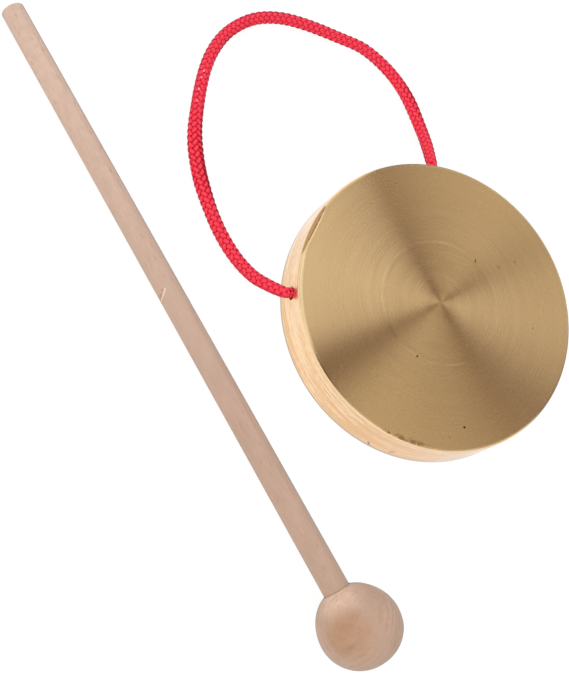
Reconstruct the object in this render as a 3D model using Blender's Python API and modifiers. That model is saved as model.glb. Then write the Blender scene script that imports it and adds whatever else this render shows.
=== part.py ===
"""A small hand gong with its carrying cord and its wooden beater, as they lie on a table.

The gong lies face up on the edge of its rim. Its cord comes out of two holes in the rim, drops to the
table and lies there in a loose loop. The beater lies beside it, on its ball and on its handle's far end.
The origin is the middle of the struck face, +Z points out of the face, and +Y to the middle of the loop.
Units are metres. Run it with blender --background --python part.py, or from the text editor.
"""

from math import asin, atan2, cos, degrees, pi, radians, sin, sqrt, tan

import bpy
import numpy as np
from mathutils import Matrix, Vector

# The brass pan
FACE_RADIUS = 0.0502
RIM_FLARE = 0.0008
GONG_DEPTH = 0.0162
SHEET = 0.0012
FLAT_RADIUS = 0.0210
CROWN_DROP = 0.0006
CORNER_RADIUS = 0.0018
EDGE_RADIUS = 0.0002
PAN_STEPS = 120
FILLET_STEPS = 5

# The cord and its two holes in the rim
CORD_DIAMETER = 0.0045
NECK_DIAMETER = 0.0036
HOLE_CLEARANCE = 0.0005
HOLE_DROP = 0.0058
HOLE_ANGLE = radians(46.5)
DRILL_SIDES = 24
DRILL_REACH = 0.0048
MEETING_GAP = 0.0003
NECK_REACH = 0.0008
STRAIGHT_OUT = 0.0015
CORD_SPACING = 2.0 * CORD_DIAMETER
CORD_SIDES = 2
CURVE_STEPS = 24

# The loop's route: degrees round from +Y towards +X, then millimetres out from the mouth's radius and
# millimetres from the table up to the cord's underside. Its two ends are worked out from the holes.
LOOP_ROUTE = (
    (-44.1, 6.4, 5.55),
    (-40.7, 11.4, 2.55),
    (-35.8, 17.4, 0.45),
    (-30.4, 24.4, 0.15),
    (-24.7, 31.6, 0.15),
    (-18.9, 39.3, 0.15),
    (-13.0, 46.8, 0.15),
    (-7.1, 53.5, 0.15),
    (-1.4, 60.4, 0.15),
    (3.2, 65.2, 0.15),
    (7.8, 68.1, 0.15),
    (12.8, 68.6, 0.15),
    (17.4, 66.2, 0.15),
    (21.9, 61.6, 0.15),
    (27.8, 54.9, 0.15),
    (32.9, 49.7, 0.15),
    (37.8, 41.4, 0.15),
    (41.8, 31.9, 0.25),
    (45.3, 19.6, 0.95),
    (46.4, 11.0, 3.75),
    (46.5, 5.5, 5.95),
)

# The stopper knot in each end of the cord, in diameters of the cord as it is drawn tight in the knot
KNOT_INNER = 0.92
KNOT_OUTER = 2.03
KNOT_RISE = 0.81
KNOT_LEAD_SIDE = 1.39
KNOT_LEAD_RISE = 0.55
KNOT_LEAD_REACH = 2.1
KNOT_TAIL = 1.8
KNOT_OPENING = radians(50)
KNOT_STEPS = 14
KNOT_SPACING = 0.42
KNOT_WALL_GAP = 0.0004
LEAST_SELF_GAP = 0.0004
# Nearer than this along the cord, two stretches are one bend and aren't held apart.
SAME_BEND = 2.2
GAP_STEPS = 12

# The beater
BALL_RADIUS = 0.0128
SOCKET_DEPTH = 0.0140
SOCKET_CLEARANCE = 0.0003
SOCKET_MOUTH_CHAMFER = 0.0004
DRILL_POINT = radians(59)
HANDLE_RADIUS = 0.0043
HANDLE_FAR_RADIUS = 0.0038
HANDLE_LENGTH = 0.2239
HANDLE_EDGE = 0.0004
HANDLE_SIDES = 32
BALL_STEPS = 48
BEATER_PLACE = (-0.0946, -0.0538)
BEATER_TURN = radians(13.41)

# What follows from those sizes
MOUTH_RADIUS = FACE_RADIUS + RIM_FLARE
CORNER_HEIGHT = GONG_DEPTH - CROWN_DROP
HOLE_HEIGHT = CORNER_HEIGHT - HOLE_DROP
TABLE = -GONG_DEPTH


def clear_scene():
    """Removes what the startup scene holds."""
    for item in list(bpy.data.objects):
        bpy.data.objects.remove(item, do_unlink=True)


def new_collection(name):
    """A collection under the scene's own."""
    made = bpy.data.collections.new(name)
    bpy.context.scene.collection.children.link(made)
    return made


def finish(name, colour, roughness, metallic=0.0):
    """A plain Principled material."""
    made = bpy.data.materials.new(name)
    made.use_nodes = True
    shader = made.node_tree.nodes["Principled BSDF"]
    shader.inputs["Base Color"].default_value = (*colour, 1.0)
    shader.inputs["Roughness"].default_value = roughness
    shader.inputs["Metallic"].default_value = metallic
    made.diffuse_color = (*colour, 1.0)
    return made


def rounded(corners):
    """A path through (x, y, fillet radius) corners, each with a radius above 0 turned into an arc."""
    path = []
    for index, (x, y, radius) in enumerate(corners):
        here = Vector((x, y))
        if radius == 0 or index in (0, len(corners) - 1):
            path.append(here)
            continue
        back = (Vector(corners[index - 1][:2]) - here).normalized()
        ahead = (Vector(corners[index + 1][:2]) - here).normalized()
        half = back.angle(ahead) / 2
        centre = here + (back + ahead).normalized() * radius / sin(half)
        first = here + back * radius / tan(half) - centre
        last = here + ahead * radius / tan(half) - centre
        start = atan2(first.y, first.x)
        turn = (atan2(last.y, last.x) - start + pi) % (2 * pi) - pi
        for step in range(FILLET_STEPS + 1):
            angle = start + turn * step / FILLET_STEPS
            path.append(centre + Vector((cos(angle), sin(angle))) * radius)
    return path


def turned(name, profile, steps, collection):
    """A solid of revolution about its own Z. The profile runs from the axis to the axis."""
    mesh = bpy.data.meshes.new(name)
    points = [(point[0], 0.0, point[1]) for point in profile]
    mesh.from_pydata(points, [(i, i + 1) for i in range(len(points) - 1)], [])
    made = bpy.data.objects.new(name, mesh)
    collection.objects.link(made)
    screw = made.modifiers.new("Turn", "SCREW")
    screw.axis = "Z"
    screw.angle = 2 * pi
    screw.steps = steps
    screw.render_steps = steps
    screw.use_merge_vertices = True
    screw.merge_threshold = 0.00001
    screw.use_smooth_shade = True
    return made


def wall_radius(height):
    """The outside radius of the rim at a height above the table."""
    return MOUTH_RADIUS - RIM_FLARE * height / CORNER_HEIGHT


def outward(angle):
    """The level direction at an angle from +Y towards +X."""
    return Vector((sin(angle), cos(angle), 0.0))


def hole_middle(side):
    """Where the hole's axis meets the outside of the rim. side is -1 for the left hole and 1 for the right."""
    place = outward(side * HOLE_ANGLE) * wall_radius(HOLE_HEIGHT)
    return place + Vector((0.0, 0.0, TABLE + HOLE_HEIGHT))


def gong_shell(collection, cutters):
    """The pressed brass pan: a face that is flat in the middle and falls slightly to its corner,
    and a rim that widens a little to its open mouth."""
    outer = [
        (0.0, GONG_DEPTH, 0.0),
        (FLAT_RADIUS, GONG_DEPTH, 0.0),
        (FACE_RADIUS, CORNER_HEIGHT, CORNER_RADIUS),
        (MOUTH_RADIUS, 0.0, EDGE_RADIUS),
    ]
    inner = [
        (MOUTH_RADIUS - SHEET, 0.0, EDGE_RADIUS),
        (FACE_RADIUS - SHEET, CORNER_HEIGHT - SHEET, CORNER_RADIUS - SHEET),
        (FLAT_RADIUS, GONG_DEPTH - SHEET, 0.0),
        (0.0, GONG_DEPTH - SHEET, 0.0),
    ]
    profile = [(point.x, point.y + TABLE) for point in rounded(outer + inner)]
    shell = turned("gong_shell", profile, PAN_STEPS, collection)
    for side in (-1, 1):
        cut = shell.modifiers.new("Cord hole", "BOOLEAN")
        cut.operation = "DIFFERENCE"
        cut.object = hole_cutter(side, cutters)
    shell.data.materials.append(finish("brass", (0.62, 0.45, 0.22), 0.3, 1.0))
    return shell


def hole_cutter(side, cutters):
    """A drill through the rim, square to its outside."""
    bpy.ops.mesh.primitive_cylinder_add(
        vertices=DRILL_SIDES,
        radius=NECK_DIAMETER / 2 + HOLE_CLEARANCE,
        depth=2 * DRILL_REACH,
    )
    drill = bpy.context.active_object
    drill.name = "hole_drill_right" if side > 0 else "hole_drill_left"
    drill.location = hole_middle(side)
    drill.rotation_euler = outward(side * HOLE_ANGLE).to_track_quat("Z", "Y").to_euler()
    drill.hide_render = True
    drill.display_type = "WIRE"
    for holder in list(drill.users_collection):
        holder.objects.unlink(drill)
    cutters.objects.link(drill)
    return drill


def through(points):
    """Many points along a smooth curve through the given ones."""
    ends = [2 * points[0] - points[1], *points, 2 * points[-1] - points[-2]]
    curve = []
    for a, b, c, d in zip(ends, ends[1:], ends[2:], ends[3:]):
        for step in range(CURVE_STEPS):
            t = step / CURVE_STEPS
            place = 2 * b + (c - a) * t + (2 * a - 5 * b + 4 * c - d) * t**2 + (3 * b - a - 3 * c + d) * t**3
            curve.append(place / 2)
    curve.append(points[-1])
    return curve


def evenly(curve, spacing):
    """Points along a curve, as near the spacing as divides its length."""
    places = np.array([tuple(point) for point in curve])
    along = np.concatenate([[0.0], np.cumsum(np.linalg.norm(np.diff(places, axis=0), axis=1))])
    count = max(2, round(along[-1] / spacing) + 1)
    stops = np.linspace(0.0, along[-1], count)
    return [Vector([np.interp(stop, along, places[:, axis]) for axis in range(3)]) for stop in stops]


def length_of(points):
    """The length of a path."""
    return sum((b - a).length for a, b in zip(points, points[1:]))


def self_gap(points, diameter):
    """The least clear distance between stretches of a tube that aren't one bend."""
    fine = np.array([tuple(point) for point in evenly(points, diameter / GAP_STEPS)])
    along = np.arange(len(fine)) * length_of(points) / (len(fine) - 1)
    apart = np.linalg.norm(fine[:, None] - fine[None], axis=2)
    apart[np.abs(along[:, None] - along[None]) < SAME_BEND * diameter] = np.inf
    return apart.min() - diameter


def tube(name, points, diameter, origin, collection):
    """A round cord along the points, with its object's origin at a chosen place."""
    data = bpy.data.curves.new(name, "CURVE")
    data.dimensions = "3D"
    data.bevel_depth = diameter / 2
    data.bevel_resolution = CORD_SIDES
    data.use_fill_caps = True
    line = data.splines.new("POLY")
    line.points.add(len(points) - 1)
    for spot, point in zip(line.points, points):
        spot.co = (*(point - origin), 1.0)
    made = bpy.data.objects.new(name, data)
    made.location = origin
    collection.objects.link(made)
    return made


def hanging_cord(collection):
    """The free loop, from just outside one hole to just outside the other. It swings about the line
    through its two ends."""
    route = []
    for angle, out, height in LOOP_ROUTE:
        place = outward(radians(angle)) * (MOUTH_RADIUS + out / 1000)
        route.append(place + Vector((0.0, 0.0, TABLE + CORD_DIAMETER / 2 + height / 1000)))
    left, right = [outward(side * HOLE_ANGLE) for side in (-1, 1)]
    start = hole_middle(-1) + left * (NECK_REACH + MEETING_GAP)
    end = hole_middle(1) + right * (NECK_REACH + MEETING_GAP)
    bent = through([start + left * STRAIGHT_OUT, *route, end + right * STRAIGHT_OUT])
    points = [start, *evenly(bent, CORD_SPACING), end]
    swing = Vector((0.0, start.y, start.z))
    made = tube("hanging_cord", points, CORD_DIAMETER, swing, collection)
    made.data.materials.append(finish("red_cord", (0.80, 0.03, 0.06), 0.8))
    print(f"loop of cord {length_of(points) * 1000:.1f} mm, swings about {tuple(round(v, 5) for v in swing)}")
    return made


def knot_path():
    """An overhand knot in diameters: a trefoil's line, opened at one of its lobes. Its standing end
    comes in from +X, and its tail leaves towards -X."""
    span = (KNOT_OUTER - KNOT_INNER) / 2
    ratio = (KNOT_OUTER + KNOT_INNER) / (KNOT_OUTER - KNOT_INNER)
    body = []
    for step in range(KNOT_STEPS + 1):
        turn = pi + KNOT_OPENING + (2 * pi - 2 * KNOT_OPENING) * step / KNOT_STEPS
        x = span * (sin(turn) + ratio * sin(2 * turn))
        y = span * (cos(turn) - ratio * cos(2 * turn))
        body.append(Vector((x, y, -KNOT_RISE * sin(3 * turn))))
    lead = [Vector((KNOT_LEAD_REACH, -KNOT_LEAD_SIDE, KNOT_LEAD_RISE))]
    tail = [
        Vector((-KNOT_LEAD_REACH - KNOT_TAIL * share, -KNOT_LEAD_SIDE, -KNOT_LEAD_RISE))
        for share in (0.0, 0.5, 1.0)
    ]
    return lead, body, tail


def cord_knot(side, collection):
    """One end of the cord: the neck through the hole and the knot that stops it inside the rim."""
    lead, body, tail = knot_path()
    away = outward(side * HOLE_ANGLE)
    # The knot's sideways axis points to the middle of the loop, so the right knot is the left one mirrored.
    sideways = Vector((-side * cos(HOLE_ANGLE), sin(HOLE_ANGLE), 0.0))
    mouth = hole_middle(side)
    lobe = KNOT_OUTER * NECK_DIAMETER + NECK_DIAMETER / 2
    reach = sqrt((wall_radius(HOLE_HEIGHT) - SHEET) ** 2 - lobe**2) - lobe - KNOT_WALL_GAP
    middle = away * reach
    middle += sideways * KNOT_LEAD_SIDE * NECK_DIAMETER
    middle.z = mouth.z - KNOT_LEAD_RISE * NECK_DIAMETER
    turn = Matrix((away, sideways, (0.0, 0.0, 1.0))).transposed()
    placed = [middle + turn @ point * NECK_DIAMETER for point in lead + body + tail]
    neck = [mouth + away * NECK_REACH, mouth - away * SHEET]
    points = evenly(through(neck + placed), KNOT_SPACING * NECK_DIAMETER)
    name = "cord_knot_right" if side > 0 else "cord_knot_left"
    made = tube(name, points, NECK_DIAMETER, mouth, collection)
    made.data.materials.append(finish(name, (0.72, 0.03, 0.06), 0.8))
    gap = self_gap(points, NECK_DIAMETER)
    print(f"{name}: {length_of(points) * 1000:.1f} mm of cord, least gap to itself {gap * 1000:.2f} mm")
    if gap < LEAST_SELF_GAP:
        raise ValueError(f"{name} comes too near to itself")
    return made


def beater_slope():
    """How far the handle points down, from the ball's middle to the far end that touches the table."""
    reach = HANDLE_LENGTH - (SOCKET_DEPTH - BALL_RADIUS)
    corner = Vector((reach, HANDLE_FAR_RADIUS))
    return asin(BALL_RADIUS / corner.length) - atan2(corner.y, corner.x)


def beater_stand(collection):
    """An empty at the ball's middle, its Z along the handle."""
    slope = beater_slope()
    along = outward(BEATER_TURN) * cos(slope) - Vector((0.0, 0.0, sin(slope)))
    stand = bpy.data.objects.new("beater_stand", None)
    stand.location = (*BEATER_PLACE, TABLE + BALL_RADIUS)
    stand.rotation_euler = along.to_track_quat("Z", "Y").to_euler()
    stand.empty_display_size = BALL_RADIUS
    collection.objects.link(stand)
    return stand


def beater_head(stand, collection):
    """The turned ball, with the drilled socket that the handle is glued into."""
    socket = HANDLE_RADIUS + SOCKET_CLEARANCE
    rim = socket + SOCKET_MOUTH_CHAMFER
    mouth = sqrt(BALL_RADIUS**2 - rim**2)
    floor = BALL_RADIUS - SOCKET_DEPTH
    profile = [
        (0.0, floor - socket / tan(DRILL_POINT)),
        (socket, floor),
        (socket, mouth - SOCKET_MOUTH_CHAMFER),
    ]
    start = atan2(rim, mouth)
    rows = BALL_STEPS // 2
    for step in range(rows + 1):
        angle = start + (pi - start) * step / rows
        profile.append((BALL_RADIUS * sin(angle) if step < rows else 0.0, BALL_RADIUS * cos(angle)))
    head = turned("beater_head", profile, BALL_STEPS, collection)
    head.parent = stand
    head.data.materials.append(finish("ball_wood", (0.62, 0.41, 0.26), 0.55))
    return head


def beater_handle(stand, collection):
    """The straight dowel, tapering from the bottom of the ball's socket to its softened far end."""
    start = BALL_RADIUS - SOCKET_DEPTH + SOCKET_CLEARANCE
    end = start + HANDLE_LENGTH - SOCKET_CLEARANCE
    bpy.ops.mesh.primitive_cone_add(
        vertices=HANDLE_SIDES, radius1=HANDLE_RADIUS, radius2=HANDLE_FAR_RADIUS, depth=end - start
    )
    dowel = bpy.context.active_object
    dowel.name = "beater_handle"
    dowel.parent = stand
    dowel.location = (0.0, 0.0, (start + end) / 2)
    edge = dowel.modifiers.new("Softened ends", "BEVEL")
    edge.width = HANDLE_EDGE
    edge.segments = 3
    edge.limit_method = "ANGLE"
    edge.angle_limit = radians(60)
    dowel.data.shade_smooth()
    dowel.data.set_sharp_from_angle(angle=radians(40))
    for holder in list(dowel.users_collection):
        holder.objects.unlink(dowel)
    collection.objects.link(dowel)
    dowel.data.materials.append(finish("dowel_wood", (0.70, 0.48, 0.32), 0.55))
    return dowel


def main():
    clear_scene()
    parts = new_collection("hand_gong")
    cutters = new_collection("cutters")
    gong_shell(parts, cutters)
    hanging_cord(parts)
    for side in (-1, 1):
        cord_knot(side, parts)
    stand = beater_stand(parts)
    beater_head(stand, parts)
    beater_handle(stand, parts)
    slope = beater_slope()
    print(f"handle slopes {degrees(slope):.2f} degrees, beater {HANDLE_LENGTH + 2 * BALL_RADIUS - SOCKET_DEPTH:.4f} m long")


main()
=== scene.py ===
"""A small brass hand gong with its red carrying cord and its wooden beater, lying on a white table.

Laid out as an add-on: the panel in the sidebar of the 3D view lists one operator for each piece or group
of like pieces and one for the stage. Run as a script, it makes everything once, in order.
Lengths are in metres. The origin is the middle of the struck face, +Z out of the face.
"""

from functools import reduce
from math import asin, atan2, cos, degrees, pi, radians, sin, sqrt, tan

import bmesh
import bpy
import numpy as np
from bpy.props import FloatProperty, FloatVectorProperty, IntProperty, PointerProperty
from bpy.types import Operator, Panel, PropertyGroup
from mathutils import Matrix, Vector


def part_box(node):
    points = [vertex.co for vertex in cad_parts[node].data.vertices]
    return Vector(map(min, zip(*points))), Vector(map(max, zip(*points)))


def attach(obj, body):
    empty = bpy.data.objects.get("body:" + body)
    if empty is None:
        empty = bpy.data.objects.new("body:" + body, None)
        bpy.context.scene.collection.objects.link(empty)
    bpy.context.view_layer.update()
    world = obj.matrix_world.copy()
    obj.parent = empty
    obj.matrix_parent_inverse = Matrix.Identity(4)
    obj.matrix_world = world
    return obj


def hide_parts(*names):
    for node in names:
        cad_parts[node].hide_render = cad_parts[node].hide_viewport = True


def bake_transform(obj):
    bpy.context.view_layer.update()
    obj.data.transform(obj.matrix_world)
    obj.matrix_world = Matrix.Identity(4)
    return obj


bl_info = {
    "name": "Hand gong",
    "version": (1, 0, 0),
    "blender": (4, 5, 0),
    "location": "View3D > Sidebar > Hand gong",
    "description": "Makes a small brass hand gong, its braided carrying cord and its wooden beater",
    "category": "Object",
}

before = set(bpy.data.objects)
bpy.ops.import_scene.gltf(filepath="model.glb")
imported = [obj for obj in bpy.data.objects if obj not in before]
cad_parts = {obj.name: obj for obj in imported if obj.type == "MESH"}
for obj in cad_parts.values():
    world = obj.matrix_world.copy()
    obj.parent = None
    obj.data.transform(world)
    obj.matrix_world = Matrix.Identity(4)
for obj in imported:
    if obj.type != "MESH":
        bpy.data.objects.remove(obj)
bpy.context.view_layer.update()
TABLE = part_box("gong_shell")[0].z

# The brass pan
FACE_RADIUS = 0.0502
RIM_FLARE = 0.0008
MOUTH_RADIUS = FACE_RADIUS + RIM_FLARE
GONG_DEPTH = 0.0162
SHEET = 0.0012
FLAT_RADIUS = 0.0210
FLAT_FILLET = 0.08
CROWN_DROP = 0.0006
CORNER_RADIUS = 0.0010
INNER_CORNER_RADIUS = 0.0005
EDGE_RADIUS = 0.0002
CORNER_HEIGHT = GONG_DEPTH - CROWN_DROP
FACE_TOP = TABLE + CORNER_HEIGHT
WALL_TOP = FACE_TOP - CORNER_RADIUS

# The cord's two holes in the rim, and where the loop meets the knotted ends
HOLE_HEIGHT = CORNER_HEIGHT - 0.0058
HOLE_ANGLE = radians(46.5)
HOLE_RADIUS = 0.0023
DRILL_LENGTH = 0.01
LOOP_START = 0.0011
NECK_REACH = 0.0008
STRAIGHT_OUT = 0.0015

# The loop's route: degrees round from +Y towards +X, then metres out from the mouth's radius and
# metres from the table up to the cord's underside.
LYING = 0.00015
LOOP_ROUTE = (
    (-44.1, 0.0064, 0.00555), (-40.7, 0.0114, 0.00255), (-35.8, 0.0174, 0.00045), (-30.4, 0.0244, LYING),
    (-24.7, 0.0316, LYING), (-18.9, 0.0393, LYING), (-13.0, 0.0468, LYING), (-7.1, 0.0535, LYING),
    (-1.4, 0.0604, LYING), (3.2, 0.0652, LYING), (7.8, 0.0681, LYING), (12.8, 0.0686, LYING),
    (17.4, 0.0662, LYING), (21.9, 0.0616, LYING), (27.8, 0.0549, LYING), (32.9, 0.0497, LYING),
    (37.8, 0.0414, LYING), (41.8, 0.0319, 0.00025), (45.3, 0.0196, 0.00095), (46.4, 0.0110, 0.00375),
    (46.5, 0.0055, 0.00595),
)

# Metres along the loop from its left end, and how wide the soft cord lies there
LOOP_WIDTH = (
    (0.000, 0.0036), (0.003, 0.0041), (0.012, 0.0045), (0.026, 0.0048), (0.040, 0.0049), (0.050, 0.0056),
    (0.062, 0.0055), (0.076, 0.0049), (0.090, 0.0046), (0.120, 0.0045), (0.160, 0.0042), (0.178, 0.0045),
    (0.192, 0.0052), (0.205, 0.0048), (0.219, 0.0041), (0.222, 0.0036),
)

# Metres along the loop, and how many degrees its braid has turned there
LOOP_TURN = (
    (0.000, 76.0), (0.030, 77.0), (0.038, 86.0), (0.048, 89.0), (0.055, 103.0), (0.060, 112.0), (0.066, 125.0),
    (0.072, 134.0), (0.079, 148.0), (0.092, 149.0), (0.110, 160.0), (0.124, 164.0), (0.146, 163.0),
    (0.156, 167.0), (0.163, 172.0), (0.171, 166.0), (0.178, 180.0), (0.187, 202.0), (0.194, 218.0),
    (0.202, 240.0), (0.208, 242.0), (0.222, 255.0),
)

# Metres along the loop, and degrees round it, where a pale end of thread shows
PALE_SPECKS = ((0.0902, 102.0), (0.0878, 105.0), (0.0831, 107.0), (0.0786, 107.0))
SPECK_RADIUS = 0.00038

# The braid
BRAID_SPACING = 0.00045
BRAID_SHIFT = 0.0009
STRAND_RISE = 0.00033
STRAND_WIDTH = 0.00148
STRAND_THICKNESS = 0.00082

# The stopper knots, in diameters of the cord as it is drawn tight in them
NECK_DIAMETER = 0.0036
KNOT_INNER = 0.92
KNOT_OUTER = 2.03
KNOT_RISE = 0.81
KNOT_LEAD_SIDE = 1.39
KNOT_LEAD_RISE = 0.55
KNOT_LEAD_REACH = 2.1
KNOT_TAIL = 1.8
KNOT_OPENING = radians(50)
KNOT_STEPS = 14
KNOT_WALL_GAP = 0.0004

# The beater
BALL_RADIUS = 0.0128
SOCKET_DEPTH = 0.0140
SOCKET_CLEARANCE = 0.0003
SOCKET_MOUTH_CHAMFER = 0.00015
DRILL_POINT = radians(59)
HANDLE_RADIUS = 0.0043
SOCKET_RADIUS = HANDLE_RADIUS + 0.4 * SOCKET_CLEARANCE
HANDLE_FAR_RADIUS = 0.0038
HANDLE_LENGTH = 0.2239
HANDLE_EDGE = 0.0004
BEATER_PLACE = (-0.0946, -0.0538)
BEATER_TURN = radians(13.41)

# The ball's skin: how far it lies off the dowel's axis and towards the dowel, over how much of its round that
# eases in, and how much it swells to its right at angles in degrees from its socket
BALL_SKIN = 0.0006
BALL_OFF_CENTRE = 0.00082
BALL_BROADER = 0.00028
BALL_FORWARD = 0.00055
BALL_FLATTER = 0.0004
BALL_EASING = radians(60)
BALL_SWELL = (
    (0.0, 0.0), (35.0, 0.0), (59.0, -0.00025), (79.0, -0.00036), (99.0, -0.00010), (119.0, 0.00036),
    (139.0, 0.00040), (159.0, 0.00022), (180.0, 0.0),
)

# Meshes
MERGE_DISTANCE = 2e-6
SHARP_EDGE = radians(35)

# The camera's axes in the row frame
CAMERA_PLACE = (-0.18953, 0.03315, 0.29601)
CAMERA_RIGHT = (0.67922, -0.65427, 0.33254)
CAMERA_UP = (0.60026, 0.75593, 0.26124)

# Level directions from the gong's axis: to the side by the camera's lower edge, to its far side, to the bright
# stretch of corner left of the hole, and to its right
NEAR_SIDE = (-0.5, -0.866, 0.0)
FAR_SIDE = (0.985, -0.172, 0.0)
BRIGHT_SIDE = (-0.78, 0.62, 0.0)
RIGHT_SIDE = (1.0, 0.0, 0.0)

# Pits and flecks of the face: x, y, half length, half breadth, turn in radians, depth of tone
PITS = (
    (0.0047, 0.0400, 0.00040, 0.00030, 0.4, 0.55),
    (0.0213, 0.0021, 0.00095, 0.00042, -0.7, 0.85),
    (-0.0202, -0.0074, 0.00055, 0.00050, 0.0, 1.0),
    (0.0214, -0.0283, 0.00045, 0.00035, 0.9, 0.6),
    (-0.0240, -0.0347, 0.00060, 0.00052, 0.3, 1.0),
    (-0.0304, -0.0336, 0.00060, 0.00040, 0.2, 0.35),
    (-0.0458, -0.0187, 0.00060, 0.00045, 1.2, 0.85),
    (-0.0437, -0.0228, 0.00210, 0.00050, 1.1, 0.45),
    (-0.0415, -0.0262, 0.00180, 0.00045, 1.0, 0.4),
    (-0.0330, 0.0000, 0.00040, 0.00040, 0.0, 0.3),
    (0.0270, -0.0050, 0.00100, 0.00070, 0.5, 0.22),
    (0.0335, -0.0075, 0.00080, 0.00060, 0.1, 0.25),
)

# Start and end of each hairline crack in the rim: x, y, and height above the table
CRACKS = (
    ((-0.0475, -0.0182, 0.00315), (-0.0472, -0.0192, 0.0010)),
    ((-0.0435, -0.0263, 0.0045), (-0.0441, -0.0254, 0.0028)),
)

# The fresh nick in the dowel, as points along it, and the two dark spots beside it: start, end, width, share
NICK_PATH = (
    (-0.06923, 0.06116, -0.00465),
    (-0.07002, 0.06060, -0.00507),
    (-0.07082, 0.06005, -0.00573),
    (-0.07150, 0.05955, -0.00676),
    (-0.07181, 0.05917, -0.00780),
)
NICK_WIDTH, NICK_SHARE = 0.00033, 0.72
NICK_SPOTS = (
    ((-0.07004, 0.06148, -0.00531), (-0.07020, 0.06130, -0.00540), 0.00045, 0.8),
    ((-0.07100, 0.06060, -0.00630), (-0.07156, 0.06010, -0.00740), 0.00060, 0.7),
)

# name, level part of the direction from the gong, width, height, turn, brightness, colour
LAMPS = (
    ("lamp_over", (0.194, 0.522), 0.864, 0.895, 0.116, 1.10, (0.95, 0.96, 1.0)),
    ("lamp_under", (-0.016, -0.634), 0.858, 0.957, 0.355, 0.81, (1.0, 0.985, 0.90)),
    ("lamp_right", (0.858, -0.097), 0.708, 0.686, -0.039, 0.72, (1.0, 1.0, 0.96)),
    ("lamp_left", (-0.683, -0.345), 0.616, 0.771, -0.504, 1.34, (1.0, 0.98, 0.97)),
    ("lamp_back", (-0.721, 0.467), 0.259, 0.642, 0.006, 1.86, (1.0, 0.94, 0.84)),
)
LAMP_AIM = Vector((0.0, 0.02, -0.005))
LAMP_DISTANCE = 0.8
FLOOR_HALF = 3.0
FLOOR_GAP = 0.00002
WHITE = (1.0, 1.0, 1.0, 1.0)


# Node trees


def sign(operation, swapped=False):
    """What one of Python's signs does with a Value."""
    return lambda value, other: calc(operation, *((other, value) if swapped else (value, other)))


class Value:
    """A node's output, which stands in sums like a number or a vector."""

    def __init__(self, socket):
        self.socket = socket
        self.tree = socket.id_data

    __add__, __radd__ = sign("ADD"), sign("ADD", True)
    __sub__, __rsub__ = sign("SUBTRACT"), sign("SUBTRACT", True)
    __mul__, __rmul__ = sign("MULTIPLY"), sign("MULTIPLY", True)
    __truediv__, __rtruediv__ = sign("DIVIDE"), sign("DIVIDE", True)


class Placed:
    """A node in its tree, whose outputs are read by name or number."""

    def __init__(self, node):
        self.node = node

    def __getitem__(self, key):
        return Value(self.node.outputs[key])


def tree_of(values):
    """The node tree that some values stand in."""
    return next(value.tree for value in values if isinstance(value, Value))


def fill_in(node, inputs):
    """Fills a node's inputs, by name or number, with constants or with the outputs of other nodes."""
    for key, value in dict(inputs).items():
        if isinstance(value, Value):
            value.tree.links.new(value.socket, node.inputs[key])
        else:
            node.inputs[key].default_value = value


def put(tree, kind, inputs=(), **settings):
    """A new node, with its settings made and its inputs filled."""
    node = tree.nodes.new(kind)
    for key, value in settings.items():
        setattr(node, key, value)
    fill_in(node, inputs)
    return Placed(node)


def calc(operation, *values, clamp=False):
    """One sum: on vectors where one of the values is a vector, else on numbers."""
    tree = tree_of(values)
    vectors = [isinstance(v, tuple) or (isinstance(v, Value) and v.socket.type == "VECTOR") for v in values]
    if not any(vectors):
        return put(tree, "ShaderNodeMath", enumerate(values), operation=operation, use_clamp=clamp)[0]
    if operation == "MULTIPLY" and not all(vectors):
        sockets = {"Vector": values[0], "Scale": values[1]}
        return put(tree, "ShaderNodeVectorMath", sockets, operation="SCALE")["Vector"]
    node = put(tree, "ShaderNodeVectorMath", enumerate(values), operation=operation)
    return node["Value" if operation in ("LENGTH", "DOT_PRODUCT", "DISTANCE") else "Vector"]


def largest(values):
    """The largest of some numbers."""
    return reduce(lambda first, second: calc("MAXIMUM", first, second), values)


def joined(x, y, z):
    """A vector from three numbers."""
    return put(tree_of((x, y, z)), "ShaderNodeCombineXYZ", {"X": x, "Y": y, "Z": z})[0]


def parted(vector):
    """The three numbers of a vector."""
    parts = put(vector.tree, "ShaderNodeSeparateXYZ", {"Vector": vector})
    return parts["X"], parts["Y"], parts["Z"]


def level_unit(vector):
    """The level direction of a vector."""
    return calc("NORMALIZE", vector * (1.0, 1.0, 0.0))


def fade(value, low, high, to_low=0.0, to_high=1.0):
    """A smooth change from one value to another as a number goes from low to high."""
    sockets = {"Value": value, "From Min": low, "From Max": high, "To Min": to_low, "To Max": to_high}
    return put(value.tree, "ShaderNodeMapRange", sockets, interpolation_type="SMOOTHSTEP")["Result"]


def noise(vector, scale, detail=2.0, roughness=0.5):
    """Soft random values from 0 to 1."""
    sockets = {"Vector": vector, "Scale": scale, "Detail": detail, "Roughness": roughness}
    return put(vector.tree, "ShaderNodeTexNoise", sockets)["Fac"]


def mixed(share, first, second, blend="MIX"):
    """Two colours mixed."""
    first, second = (value if isinstance(value, Value) else (*value[:3], 1.0) for value in (first, second))
    tree = tree_of((share, first, second))
    return put(tree, "ShaderNodeMix", {0: share, 6: first, 7: second}, data_type="RGBA", blend_type=blend)[2]


def layered(colour, *layers):
    """A colour with others laid over it in turn, each by its own share."""
    for share, over in layers:
        colour = mixed(share, colour, over)
    return colour


def tinted(colour, factors):
    """A colour times another one."""
    return mixed(1.0, colour, factors, "MULTIPLY")


def bumped(height, depth):
    """A normal from a height between 0 and 1 that stands for a depth in metres."""
    sockets = {"Height": height, "Strength": 1.0, "Distance": depth}
    return put(height.tree, "ShaderNodeBump", sockets)[0]


def here(tree):
    """The point on the surface, in metres in the row frame."""
    return put(tree, "ShaderNodeTexCoord")["Object"]


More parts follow.
